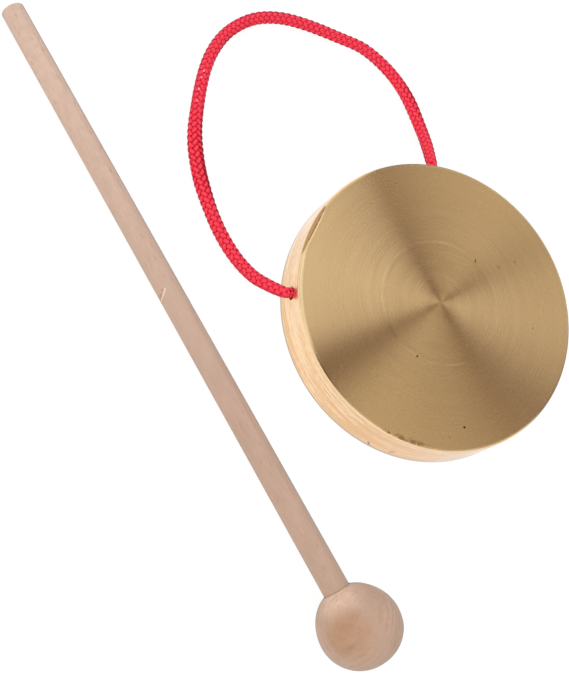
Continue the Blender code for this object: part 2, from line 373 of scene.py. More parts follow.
def facing_away(tree, inputs=()):
    """How far the surface turns away from the eye: 0 where it faces it, 1 at its outline."""
    return put(tree, "ShaderNodeLayerWeight", {"Blend": 0.5, **dict(inputs)})["Facing"]


def material(name, constants):
    """A new material with one Principled BSDF: the material, its tree and that shader."""
    made = bpy.data.materials.new(name)
    made.use_nodes = True
    shader = made.node_tree.nodes["Principled BSDF"]
    fill_in(shader, constants)
    return made, made.node_tree, shader


# Node groups

POINT = (0.0, 0.0, 0.0)
SORTS = {float: "Float", int: "Int", tuple: "Vector", type(None): "Geometry"}


def group(name, takes, gives, kind="ShaderNodeTree"):
    """An empty node group: what it is given, whose sorts follow from its default values, and the node that
    gives back."""
    tree = bpy.data.node_groups.new(name, kind)
    for label, value in takes.items():
        sort = "NodeSocket" + SORTS[type(value)]
        socket = tree.interface.new_socket(label, in_out="INPUT", socket_type=sort)
        if value is not None:
            socket.default_value = value
    for label, sort in gives.items():
        tree.interface.new_socket(label, in_out="OUTPUT", socket_type="NodeSocket" + sort)
    return Placed(tree.nodes.new("NodeGroupInput")), tree.nodes.new("NodeGroupOutput")


def use(name, inputs):
    """A node group placed with its own values. It is made when it is first used."""
    kept = bpy.data.node_groups.get(name) or GROUPS[name]()
    return put(tree_of(inputs.values()), "ShaderNodeGroup", inputs, node_tree=kept)


def turning_marks():
    """Rings that a lathe tool or an abrasive leaves round Z: how far the surface tips outwards, and its tone."""
    takes = {"Position": POINT, "Spacing": 0.0005, "Arc": 1.2, "Ring Slope": 0.03, "Hair Slope": 0.02}
    gives = {"Slope": "Float", "Tone": "Float", "Outward": "Vector", "Radius": "Float"}
    given, out = group("turning_marks", takes, gives)
    level = given["Position"] * (1.0, 1.0, 0.0)
    radius = calc("LENGTH", level)
    away = calc("NORMALIZE", level)
    row = radius / given["Spacing"]
    x, y, _ = parted(away * given["Arc"])
    ring = noise(joined(row, 0.0, 3.7), 1.0, 2.0, 0.6)
    hair = noise(joined(row * 3.1, x, y), 1.0, 2.0, 0.7)
    patch = noise(joined(row * 0.16, x, y), 1.0)
    slope = (ring - 0.5) * given["Ring Slope"] + (hair - 0.5) * given["Hair Slope"]
    tone = ring * 0.25 + patch * 0.35 + hair * 0.40
    fill_in(out, {"Slope": slope, "Tone": tone, "Outward": away, "Radius": radius})
    return out.id_data


def tipped_normal():
    """The surface's normal, tipped a little towards a direction given in the object's own axes."""
    given, out = group("tipped_normal", {"Towards": POINT, "Slope": 0.0}, {"Normal": "Vector"})
    tree = out.id_data
    settings = {"vector_type": "VECTOR", "convert_from": "OBJECT", "convert_to": "WORLD"}
    towards = put(tree, "ShaderNodeVectorTransform", {"Vector": given["Towards"]}, **settings)[0]
    normal = put(tree, "ShaderNodeNewGeometry")["Normal"]
    fill_in(out, {"Normal": calc("NORMALIZE", normal + towards * given["Slope"])})
    return tree


def pit():
    """One small pit or fleck: 1 in its middle, 0 outside, with a ragged edge."""
    takes = {"Position": POINT, "Place": POINT, "Long": 0.0006, "Broad": 0.0004, "Turn": 0.0}
    given, out = group("pit", takes, {"Mask": "Float"})
    sockets = {"Vector": given["Position"] - given["Place"], "Angle": given["Turn"]}
    x, y, _ = parted(put(out.id_data, "ShaderNodeVectorRotate", sockets, rotation_type="Z_AXIS")[0])
    flat = joined(x / given["Long"], y / given["Broad"], 0.0)
    ragged = (noise(given["Position"], 2600.0) - 0.5) * 1.2
    fill_in(out, {"Mask": fade(calc("LENGTH", flat) + ragged, 1.0, 0.45)})
    return out.id_data


def scratch():
    """A thin mark between two points: 1 along it, 0 away from it, with a ragged edge."""
    takes = {"Position": POINT, "Start": POINT, "End": (0.0, 0.0, 0.01), "Width": 0.0002}
    given, out = group("scratch", takes, {"Mask": "Float"})
    away = given["Position"] - given["Start"]
    line = given["End"] - given["Start"]
    share = calc("DIVIDE", calc("DOT_PRODUCT", away, line), calc("DOT_PRODUCT", line, line), clamp=True)
    off = calc("LENGTH", away - line * share)
    ragged = noise(given["Position"], 3000.0) - 0.5
    fill_in(out, {"Mask": fade(off / given["Width"] + ragged, 1.0, 0.4)})
    return out.id_data


def worn_flat():
    """Where the face's edge is worn flat on one side: the dull flat, its dark side, which is painted shade, and the
    bright line by it, which is a painted highlight.
    """
    takes = {"Position": POINT, "Middle": radians(111.7), "Half Angle": radians(11.5), "Depth": 0.00135}
    takes |= {"Edge": FACE_RADIUS, "Top": 0.0}
    given, out = group("worn_flat", takes, {"Mask": "Float", "Dark": "Float", "Bright": "Float"})
    x, y, z = parted(given["Position"])
    along = (calc("ARCTAN2", y, x) - given["Middle"]) / given["Half Angle"]
    curve = calc("SQRT", calc("SUBTRACT", 1.0, along * along, clamp=True)) * fade(along, 0.0, 1.0, 1.0, 0.6)
    ragged = noise(given["Position"], 1100.0, 3.0, 0.75) - 0.5
    past = calc("LENGTH", joined(x, y, 0.0)) - (given["Edge"] - given["Depth"] * curve)
    past = calc("MULTIPLY_ADD", ragged, 0.0009, past)
    high = calc("MULTIPLY_ADD", ragged, 0.0004, z - given["Top"])
    high = fade(high, -0.0009, -0.0006) * calc("GREATER_THAN", curve, 0.001)
    mask = high * fade(past, -0.00008, 0.00008)
    # Painted shade on the flat's dark side; painted highlight along the bright line by it.
    dark = mask * fade(past, 0.0007, 0.0003) * fade(ragged, -0.25, 0.1, 0.2, 1.0)
    bright = fade(past, -0.0006, -0.00035) * fade(past, -0.00005, -0.00015) * high * fade(curve, 0.3, 0.8)
    fill_in(out, {"Mask": mask, "Dark": dark, "Bright": bright})
    return out.id_data


def smudges():
    """Broad soft unevenness of a handled surface."""
    takes = {"Position": POINT, "Size": 0.01, "Stretch": (1.0, 1.0, 1.0)}
    given, out = group("smudges", takes, {"Mask": "Float"})
    spot = given["Position"] * given["Stretch"] * (1.0 / given["Size"])
    fill_in(out, {"Mask": fade(noise(spot, 1.0, 4.0, 0.6), 0.3, 0.7)})
    return out.id_data


def pale_wood():
    """Pale close-grained wood. Its fibres run along Z and its growth rings lie across X."""
    takes = {"Position": POINT, "Ring": 0.0016, "Bow": 20.0, "Dish": 5.0, "Fleck": 0.0009, "Fleck Length": 0.004}
    gives = {"Ring": "Float", "Fibre": "Float", "Fleck": "Float", "Height": "Float"}
    given, out = group("pale_wood", takes, gives)
    position = given["Position"]
    x, y, z = parted(position)
    wander = (noise(position * (1.0, 1.0, 0.35), 90.0) - 0.5) * 0.0035
    row = ((x + wander) + (y * y * given["Bow"] + z * z * given["Dish"])) / given["Ring"]
    part = calc("FRACT", row)
    late = fade(part, 0.35, 0.93) * fade(part, 1.0, 0.93)
    uneven = noise(joined(calc("FLOOR", row), 0.0, z * 60.0), 1.3, 1.0)
    fibre = noise(position * (1.0, 1.0, 0.05), 4200.0, 3.0, 0.6)
    cells = joined(x / given["Fleck"], y / given["Fleck"], z / given["Fleck Length"])
    seen = put(out.id_data, "ShaderNodeTexVoronoi", {"Vector": cells, "Scale": 1.0, "Randomness": 1.0})
    fleck = fade(seen["Distance"], 0.34, 0.12) * fade(parted(seen["Color"])[0], 0.62, 0.66)
    ring = late * fade(uneven, 0.2, 0.75, 0.25, 1.0)
    fill_in(out, {"Ring": ring, "Fibre": fibre, "Fleck": fleck, "Height": fibre * 0.6 - fleck * 0.5})
    return out.id_data


def yarn():
    """The fine filaments that lie side by side in one strand of a braid."""
    takes = {"Along": 0.0, "Around": 0.0, "Strand": 0.0}
    given, out = group("yarn", takes, {"Height": "Float", "Tone": "Float"})
    along, around, strand = (given[name] for name in takes)
    sway = noise(joined(along * 160.0, strand, 0.0), 1.0, 1.0)
    spot = joined(along * 520.0, around * 26.0 + sway * 1.6, strand)
    filament = noise(spot, 1.0, 2.0, 0.6)
    shade = noise(spot * 0.31, 1.0)
    fill_in(out, {"Height": filament, "Tone": filament * 0.6 + shade * 0.4})
    return out.id_data


MAKERS = (turning_marks, tipped_normal, pit, scratch, worn_flat, smudges, pale_wood, yarn)
GROUPS = {maker.__name__: maker for maker in MAKERS}


# Materials


def brushed_brass(colours):
    """The face: fine rings that spread each reflection across them, with a few pits and a scuffed edge, and painted
    shade, reflection and highlights about its edge and rounded corner.
    """
    constants = {"Metallic": 1.0, "Anisotropic": 0.95, "Anisotropic Rotation": 0.25}
    made, tree, shader = material("brushed_brass", constants)
    position = here(tree)
    sockets = {"Position": position, "Spacing": 0.00045, "Arc": 1.3, "Ring Slope": 0.035, "Hair Slope": 0.017}
    marks = use("turning_marks", sockets)
    radius = marks["Radius"]
    tone = fade(marks["Tone"], 0.38, 0.62) * fade(radius, 0.026, 0.036, 1.0, 0.3)
    tone = tone + fade(radius, 0.026, 0.036, 0.0, 0.3)
    pits = []
    for x, y, long, broad, turn, depth in PITS:
        sockets = {"Position": position, "Place": (x, y, 0.0), "Long": long, "Broad": broad, "Turn": turn}
        pits.append(use("pit", sockets)["Mask"] * depth)
    pits = largest(pits)

    _, _, height = parted(position)
    away = level_unit(position)
    _, ahead, _ = parted(away)
    corner = fade(height, FACE_TOP - 0.00002, FACE_TOP - 0.00016)
    near_side = fade(calc("DOT_PRODUCT", away, NEAR_SIDE), 0.0, 0.7)
    # Painted shade: the top of the corner on the near side is darker.
    near_edge_shade = fade(height, FACE_TOP - 0.00001, FACE_TOP - 0.00005) * near_side * 0.75
    shaded_brass = [part * factor for part, factor in zip(colours.brass_deep, (0.78, 0.78, 0.9))]
    # Painted shade: the face's far outline darkens as it turns from the eye.
    outline = fade(height, FACE_TOP - 0.00001, FACE_TOP - 0.00008) * fade(facing_away(tree), 0.16, 0.42, 0.0, 0.85)
    outline = outline * fade(calc("DOT_PRODUCT", away, FAR_SIDE), -0.05, 0.25)
    line = fade(ahead, 0.55, 0.43) * fade(ahead, -0.05, 0.14)
    line = line * fade(radius, FACE_RADIUS - 0.0009, FACE_RADIUS - 0.0005)
    stained = fade(ahead, -0.30, -0.38) * fade(ahead, -0.66, -0.56)
    stained = stained * fade(radius, FACE_RADIUS - 0.0026, FACE_RADIUS - 0.0012)
    stained = stained * fade(noise(position, 760.0, 3.0, 0.7), 0.44, 0.58)
    left = fade(calc("DOT_PRODUCT", away, RIGHT_SIDE), 0.0, -0.1)
    scuffed = calc("MULTIPLY", line * 0.85 + stained * 0.8, left, clamp=True)
    # Painted highlight: a bright band along the face's edge by the left cord hole.
    face_edge_highlight = fade(calc("DOT_PRODUCT", away, BRIGHT_SIDE), 0.88, 0.97)
    face_edge_highlight = face_edge_highlight * fade(radius, FACE_RADIUS - 0.0016, FACE_RADIUS - 0.0011, 0.0, 0.7)
    flat = use("worn_flat", {"Position": position, "Edge": FACE_RADIUS, "Top": FACE_TOP})
    metal = layered(
        mixed(tone, colours.brass_deep, colours.brass),
        (fade(radius, 0.009, 0.0005, 0.0, 0.35), colours.tarnish_and_shade),
        (pits, colours.pit),
        # Painted reflection: the rounded corner, except on the near side, takes the pale corner colour.
        (corner * fade(near_side, 0.0, 1.0, 0.8, 0.0), colours.corner),
        (near_edge_shade, shaded_brass),
        (outline, colours.edge),
        (scuffed, colours.tarnish_and_shade),
        (face_edge_highlight, colours.glint),
        # The worn flat: its colour is partly a painted dark reflection, its dark side painted shade, its bright line
        # a painted highlight.
        (flat["Mask"], colours.dull_and_shaded_stretch),
        (flat["Dark"] * 0.85, colours.tarnish_and_shade),
        (flat["Bright"], colours.glint),
    )

    smudge = use("smudges", {"Position": position, "Size": 0.016})["Mask"]
    rough = fade(tone, 0.0, 1.0, 0.275, 0.265) + smudge * 0.006
    rough = rough + fade(radius, 0.005, 0.0, 0.0, 0.06) + pits * 0.3 + corner * 0.3
    ridge = fade(radius, 0.0211, 0.0215) * fade(radius, 0.0219, 0.0215, 0.0, 0.12)
    ridge = ridge * fade(noise(position, 110.0), 0.35, 0.62)
    normal = use("tipped_normal", {"Towards": marks["Outward"], "Slope": marks["Slope"] + ridge})["Normal"]
    tangent = put(tree, "ShaderNodeTangent", direction_type="RADIAL", axis="Z")[0]
    fill_in(shader, {"Base Color": metal, "Roughness": rough, "Normal": normal, "Tangent": tangent})
    return made


def polished_brass(colours):
    """The rim: polished round, with faint streaks along it, two hairline cracks and a duller rounded corner; painted
    reflection tints its corner and sides, and painted shade its far top and its foot.
    """
    made, tree, shader = material("polished_brass", {"Metallic": 1.0})
    position = here(tree)
    _, _, z = parted(position)
    away = level_unit(position)
    right, ahead, _ = parted(away)

    def streaks(round_it, upwards, *detail):
        return noise(joined(right * round_it, ahead * round_it, z * upwards), 1.0, *detail)

    wave = streaks(2.6, 320.0)
    warm = streaks(2.6, 1500.0, 3.0, 0.65) * 0.55 + wave * 0.25 + streaks(26.0, 900.0) * 0.2
    # Painted reflection: the rim is warmer low down by the table and on its near left side.
    near_side = fade(ahead, 0.45, -0.3)
    low = fade(z, TABLE + 0.011, TABLE + 0.002, 0.0, 0.06)
    warm = fade(warm + (low + near_side * fade(right, -0.3, -0.6) * 0.09), 0.46, 0.62)
    metal = mixed(warm, colours.polish, colours.polish_warm)
    # Painted reflection: greyer on the near side, and bluer where the rim faces most nearly towards -Y.
    metal = mixed(near_side * 0.6, metal, tinted(metal, (0.90, 0.90, 0.95)))
    metal = mixed(fade(ahead, -0.6, -0.95), metal, tinted(metal, (0.985, 1.03, 1.14)))

    # Painted reflection: the rounded corner takes a pale cream, a little different on the near side.
    corner = mixed(near_side, colours.corner, (0.90, 0.725, 0.51))
    # Painted shade: the top of the rim darkens on its far side.
    far = fade(calc("DOT_PRODUCT", away, FAR_SIDE), -0.05, 0.25)
    far = far * fade(z, WALL_TOP + 0.0001, WALL_TOP + 0.0005, 0.0, 0.85)
    flat = use("worn_flat", {"Position": position, "Edge": FACE_RADIUS, "Top": FACE_TOP})["Mask"]
    cracks = []
    for ends in CRACKS:
        start, end = [(x, y, TABLE + height) for x, y, height in ends]
        sockets = {"Position": position, "Start": start, "End": end, "Width": 0.0005}
        cracks.append(use("scratch", sockets)["Mask"] * 0.9)
    # Painted shade: a grey band along the mouth's edge by the table, taller where the rim turns from the eye.
    foot_height = fade(facing_away(tree), 0.35, 0.85, 0.0006, 0.0022)
    metal = layered(
        metal,
        (fade(z, WALL_TOP - 0.0002, WALL_TOP + 0.0005, 0.0, 0.9), corner),
        (far, colours.edge),
        # The worn flat's darker colour is partly a painted dark reflection.
        (flat * 0.9, colours.dull_and_shaded_stretch),
        (largest(cracks), colours.tarnish_and_shade),
        (fade((z - TABLE) / foot_height, 1.1, 0.5, 0.0, 0.75), colours.foot),
    )

    smudge = use("smudges", {"Position": position, "Size": 0.01, "Stretch": (1.0, 1.0, 2.5)})["Mask"]
    by_corner = fade(z, WALL_TOP - 0.0006, WALL_TOP + 0.0003, 0.0, 0.5)
    by_hole = fade(calc("DISTANCE", position, tuple(hole_middle(-1))), 0.0085, 0.0055, 0.0, 0.36)
    rough = largest((fade(smudge, 0.0, 1.0, 0.15, 0.26), by_corner, by_hole))
    fill_in(shader, {"Base Color": metal, "Roughness": rough, "Normal": bumped(wave, 0.00003)})
    return made


def raw_brass(colours):
    """The inside: as pressed, duller and darker, with coarse turning marks."""
    made, tree, shader = material("raw_brass", {"Metallic": 1.0})
    position = here(tree)
    sockets = {"Position": position, "Spacing": 0.0011, "Arc": 0.8, "Ring Slope": 0.16, "Hair Slope": 0.08}
    marks = use("turning_marks", sockets)
    smudge = use("smudges", {"Position": position, "Size": 0.012})["Mask"]
    metal = mixed(marks["Tone"], colours.brass_deep, colours.brass)
    metal = mixed(smudge * 0.45, metal, colours.tarnish_and_shade)
    normal = use("tipped_normal", {"Towards": marks["Outward"], "Slope": marks["Slope"]})["Normal"]
    fill_in(shader, {"Base Color": metal, "Roughness": fade(smudge, 0.0, 1.0, 0.32, 0.5), "Normal": normal})
    return made


def braided_red(colours):
    """The cord's strands, read along and around each strand: a painted highlight on their crowns, painted shade where
    they dive, on their inner sides and at the cord's outline.
    """
    made, tree, shader = material("braided_red", {"Roughness": 0.6, "Specular IOR Level": 0.18})

    def layer(name, output="Fac"):
        return put(tree, "ShaderNodeAttribute", attribute_name=name)[output]

    lift, crest = layer("lift"), layer("crest")
    thread = use("yarn", {"Along": layer("along"), "Around": layer("around"), "Strand": layer("strand")})
    # Painted highlight on the strands' crowns; painted shade where they dive and on their inner sides.
    crown_highlight = fade(lift, 0.45, 0.95) * fade(crest, -0.3, 0.9) * fade(thread["Tone"], 0.25, 0.7, 0.75, 1.0)
    deep = calc("MAXIMUM", fade(lift, 1.0, 0.58), fade(crest, -0.2, -0.8, 0.0, 0.7))
    # Painted shade at the cord's outline.
    outline = fade(facing_away(tree, {"Normal": layer("out", "Vector")}), 0.50, 0.92, 0.0, 0.75)
    red = mixed(crown_highlight, colours.red_deep, colours.red)
    red = layered(red, (deep, colours.red_shadow), (outline, colours.red_edge))
    fill_in(shader, {"Base Color": red, "Normal": bumped(thread["Height"], 0.00006)})
    return made


def pale_thread(colours):
    """The cut ends of pale thread that show in the braid."""
    made, tree, shader = material("pale_thread", {"Roughness": 0.6})
    cloud = noise(here(tree), 4000.0)
    tint = mixed(fade(cloud, 0.35, 0.65), colours.pale, colours.red)
    fill_in(shader, {"Base Color": tint, "Normal": bumped(cloud, 0.00002)})
    return made


def sealed_red(colours):
    """The cord's cut ends, melted so that they don't fray."""
    made, tree, shader = material("sealed_red", {"Roughness": 0.3})
    position = here(tree)
    tint = mixed(noise(position, 1500.0), colours.red_shadow, colours.red_deep)
    fill_in(shader, {"Base Color": tint, "Normal": bumped(noise(position, 900.0), 0.0003)})
    return made


def bare_wood(name, wood, tones, outline, axes, place, grain, patches, streaks, nicks=()):
    """Bare turned wood in two tones. outline says from where to where its outline greys with painted shade, and how
    much on each side; axes are the directions across the rings, across the fibres and along them; each of the patches
    is a place in those axes, where it is full and where it ends, how strong it is and its colour; the ball's pale
    side among them is painted light."""
    made, tree, shader = material(name, {"Roughness": 0.55})
    sockets = {"Vector": here(tree) - tuple(place), "Rotation": tuple(Matrix(axes).to_euler("XYZ"))}
    position = put(tree, "ShaderNodeVectorRotate", sockets, rotation_type="EULER_XYZ")[0]
    grained = use("pale_wood", {"Position": position, **grain})
    cloud = use("smudges", {"Position": position, "Size": 0.007, "Stretch": (1.0, 1.0, 0.3)})["Mask"]
    pink = use("smudges", {"Position": position, "Size": 0.0035, "Stretch": (1.0, 1.0, 0.25)})["Mask"]
    tint = mixed(pink * 0.6, mixed(cloud * 0.55, *tones), wood.pink)
    uneven = fade(noise(position, 420.0, 3.0, 0.6), 0.38, 0.6, 0.72, 1.0)
    for spot, near, far, share, colour in patches:
        mask = fade(calc("DISTANCE", position, spot), far, near, 0.0, share)
        tint = mixed(mask * fade(cloud, 0.0, 1.0, 0.7, 1.0) * uneven, tint, colour)
    rings = grained["Ring"] * fade(noise(position, 130.0), 0.38, 0.62, 0.1, streaks)
    tint = mixed(rings, tint, tinted(tint, (0.86, 0.80, 0.76)))
    tint = mixed(grained["Fleck"] * 0.5, tint, wood.fleck)
    light = fade(grained["Fibre"], 0.25, 0.75, 0.93, 1.06)
    tint = tinted(tint, joined(light, light, light))
    for start, end, width, share, colour in nicks:
        sockets = {"Position": here(tree), "Start": start, "End": end, "Width": width}
        tint = mixed(use("scratch", sockets)["Mask"] * share, tint, colour)
    # Painted shade: the outline greys as the surface turns from the eye, more on one side than the other.
    start, end, one_side, other_side = outline
    side = fade(parted(position)[1], -0.002, 0.002, one_side, other_side)
    tint = mixed(fade(facing_away(tree), start, end) * side, tint, wood.edge)
    rough = fade(grained["Fibre"], 0.2, 0.8, 0.48, 0.62)
    fill_in(shader, {"Base Color": tint, "Roughness": rough, "Normal": bumped(grained["Height"], 0.00003)})
    return made


# Meshes


def new_object(name, mesh):
    """An object at the origin, in the scene."""
    made = bpy.data.objects.new(name, mesh)
    bpy.context.scene.collection.objects.link(made)
    return made


def finished(made):
    """The object as its modifiers leave it, as a plain mesh on a new object of the same name."""
    name = made.name
    graph = bpy.context.evaluated_depsgraph_get()
    mesh = bpy.data.meshes.new_from_object(made.evaluated_get(graph), preserve_all_data_layers=True, depsgraph=graph)
    old = made.data
    bpy.data.objects.remove(made, do_unlink=True)
    bpy.data.meshes.remove(old)
    mesh.name = name
    return new_object(name, mesh)


def as_mesh(name, work, smooth=True):
    """A mesh from a bmesh, which is freed."""
    for face in work.faces:
        face.smooth = smooth
    mesh = bpy.data.meshes.new(name)
    work.to_mesh(mesh)
    work.free()
    return mesh


def with_mesh(made, mesh):
    """The object with one more mesh joined to it."""
    part = new_object(mesh.name, mesh)
    with bpy.context.temp_override(active_object=made, selected_editable_objects=[made, part]):
        bpy.ops.object.join()
    return made


def rounded(corners, steps):
    """A path through (x, y, fillet radius) corners, with two near points by each end of each straight."""
    path = []
    for index, (x, y, radius) in enumerate(corners):
        spot = Vector((x, y))
        if radius == 0 or index in (0, len(corners) - 1):
            path.append(spot)
            continue
        back = (Vector(corners[index - 1][:2]) - spot).normalized()
        ahead = (Vector(corners[index + 1][:2]) - spot).normalized()
        half = back.angle(ahead) / 2
        centre = spot + (back + ahead).normalized() * radius / sin(half)
        first = spot + back * radius / tan(half) - centre
        last = spot + ahead * radius / tan(half) - centre
        start = atan2(first.y, first.x)
        turn = (atan2(last.y, last.x) - start + pi) % (2 * pi) - pi
        path.append(centre + first + back * radius * 0.05)
        for step in range(steps + 1):
            angle = start + turn * step / steps
            path.append(centre + Vector((cos(angle), sin(angle))) * radius)
        path.append(centre + last + ahead * radius * 0.05)
    return path


def turned(name, profile, steps):
    """A closed mesh of revolution about Z, from a profile of (radius, height) points."""
    work = bmesh.new()
    points = [work.verts.new((radius, 0.0, height)) for radius, height in profile]
    edges = [work.edges.new(pair) for pair in zip(points, points[1:])]
    bmesh.ops.spin(
        work, geom=points + edges, cent=(0, 0, 0), axis=(0, 0, 1), angle=2 * pi, steps=steps, use_duplicate=False
    )
    bmesh.ops.remove_doubles(work, verts=work.verts, dist=MERGE_DISTANCE)
    bmesh.ops.recalc_face_normals(work, faces=work.faces)
    return as_mesh(name, work)


def outward(angle):
    """The level direction at an angle from +Y towards +X."""
    return Vector((sin(angle), cos(angle), 0.0))


def wall_radius(height):
    """The outside radius of the rim at a height above the table."""
    return MOUTH_RADIUS - RIM_FLARE * height / CORNER_HEIGHT


def hole_middle(side):
    """Where a hole's axis meets the outside of the rim: the left hole for -1, the right one for 1."""
    place = outward(side * HOLE_ANGLE) * wall_radius(HOLE_HEIGHT)
    return place + Vector((0.0, 0.0, TABLE + HOLE_HEIGHT))


def through(points, steps=24):
    """Many points along a smooth curve through the given ones."""
    ends = [2 * points[0] - points[1], *points, 2 * points[-1] - points[-2]]
    curve = []
    for a, b, c, d in zip(ends, ends[1:], ends[2:], ends[3:]):
        for step in range(steps):
            t = step / steps
            place = 2 * b + (c - a) * t + (2 * a - 5 * b + 4 * c - d) * t**2 + (3 * b - a - 3 * c + d) * t**3
            curve.append(place / 2)
    curve.append(points[-1])
    return curve


def evenly(curve, spacing):
    """Points along a curve, as near the spacing as divides its length, and how far along each one is."""
    places = np.array([tuple(point) for point in curve])
    along = np.concatenate([[0.0], np.cumsum(np.linalg.norm(np.diff(places, axis=0), axis=1))])
    count = max(2, round(along[-1] / spacing) + 1)
    stops = np.linspace(0.0, along[-1], count)
    return np.stack([np.interp(stops, along, places[:, axis]) for axis in range(3)], axis=1), stops


def loop_curve(diameter):
    """The loop's middle line, from just outside the left hole to just outside the right one."""
    route = []
    for angle, out, height in LOOP_ROUTE:
        place = outward(radians(angle)) * (MOUTH_RADIUS + out)
        route.append(place + Vector((0.0, 0.0, TABLE + diameter / 2 + height)))
    left, right = [outward(side * HOLE_ANGLE) for side in (-1, 1)]
    start = hole_middle(-1) + left * LOOP_START
    end = hole_middle(1) + right * LOOP_START
    return [start, *through([start + left * STRAIGHT_OUT, *route, end + right * STRAIGHT_OUT]), end]


def knot_curve(side):
    """The middle line of one end of the cord: in through its hole, round an overhand knot, and its tail."""
    span = (KNOT_OUTER - KNOT_INNER) / 2
    ratio = (KNOT_OUTER + KNOT_INNER) / (KNOT_OUTER - KNOT_INNER)
    path = [Vector((KNOT_LEAD_REACH, -KNOT_LEAD_SIDE, KNOT_LEAD_RISE))]
    for step in range(KNOT_STEPS + 1):
        turn = pi + KNOT_OPENING + (2 * pi - 2 * KNOT_OPENING) * step / KNOT_STEPS
        x = span * (sin(turn) + ratio * sin(2 * turn))
        y = span * (cos(turn) - ratio * cos(2 * turn))
        path.append(Vector((x, y, -KNOT_RISE * sin(3 * turn))))
    for share in (0.0, 0.5, 1.0):
        path.append(Vector((-KNOT_LEAD_REACH - KNOT_TAIL * share, -KNOT_LEAD_SIDE, -KNOT_LEAD_RISE)))
    away = outward(side * HOLE_ANGLE)
    sideways = Vector((-side * cos(HOLE_ANGLE), sin(HOLE_ANGLE), 0.0))
    mouth = hole_middle(side)
    lobe = (KNOT_OUTER + 0.5) * NECK_DIAMETER
    reach = sqrt((wall_radius(HOLE_HEIGHT) - SHEET) ** 2 - lobe**2) - lobe - KNOT_WALL_GAP
    middle = away * reach + sideways * KNOT_LEAD_SIDE * NECK_DIAMETER
    middle.z = mouth.z - KNOT_LEAD_RISE * NECK_DIAMETER
    turn = Matrix((away, sideways, (0.0, 0.0, 1.0))).transposed()
    placed = [middle + turn @ point * NECK_DIAMETER for point in path]
    return through([mouth + away * NECK_REACH, mouth - away * SHEET, *placed])


def sides_along(points, level):
    """A direction square to a path at each point: level ones, or ones carried along it without twist."""
    heading = np.gradient(points, axis=0)
    heading /= np.linalg.norm(heading, axis=1)[:, None]
    if level:
        side = np.cross(heading, (0.0, 0.0, 1.0))
        return side / np.linalg.norm(side, axis=1)[:, None]
    side = np.cross(heading[0], (0.0, 0.0, 1.0))
    sides = []
    for along in heading:
        side = side - along * (side @ along)
        side /= np.linalg.norm(side)
        sides.append(side)
    return np.array(sides)


